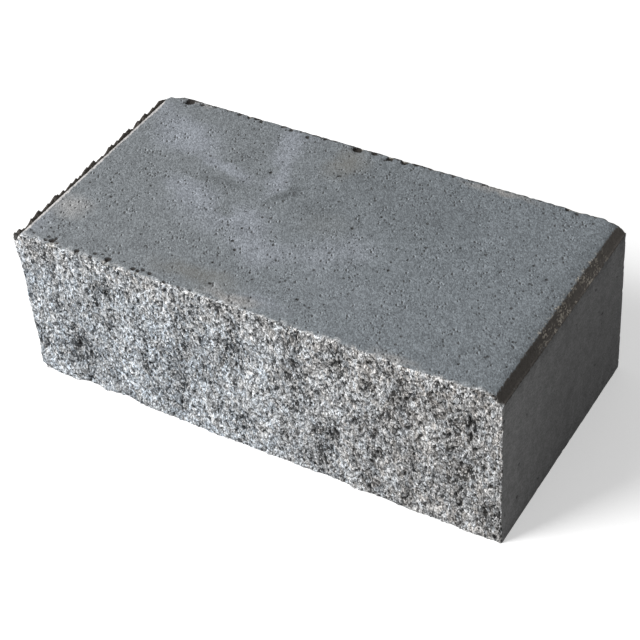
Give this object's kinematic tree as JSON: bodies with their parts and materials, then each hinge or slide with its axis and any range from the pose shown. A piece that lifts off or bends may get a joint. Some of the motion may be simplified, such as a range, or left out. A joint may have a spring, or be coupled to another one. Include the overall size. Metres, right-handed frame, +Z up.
{
  "type": "garden wall block",
  "caption": "Solid concrete wall block with a smooth top, back and ends, bevelled top ends and a rough split front face.",
  "frame": {"origin": "on the bed, midway between the ends and midway between the back and the mean line of the split front", "axes": "+X along the wall to the right as the split front is faced, +Y to the back, -Y out of the split front, +Z up"},
  "size_m": [0.29, 0.1471, 0.1],
  "materials": {
    "concrete": "smooth pressed grey concrete, with a coarse broken split front"
  },
  "bodies": {
    "root": {"wall_block": "concrete"}
  },
  "joints": []
}
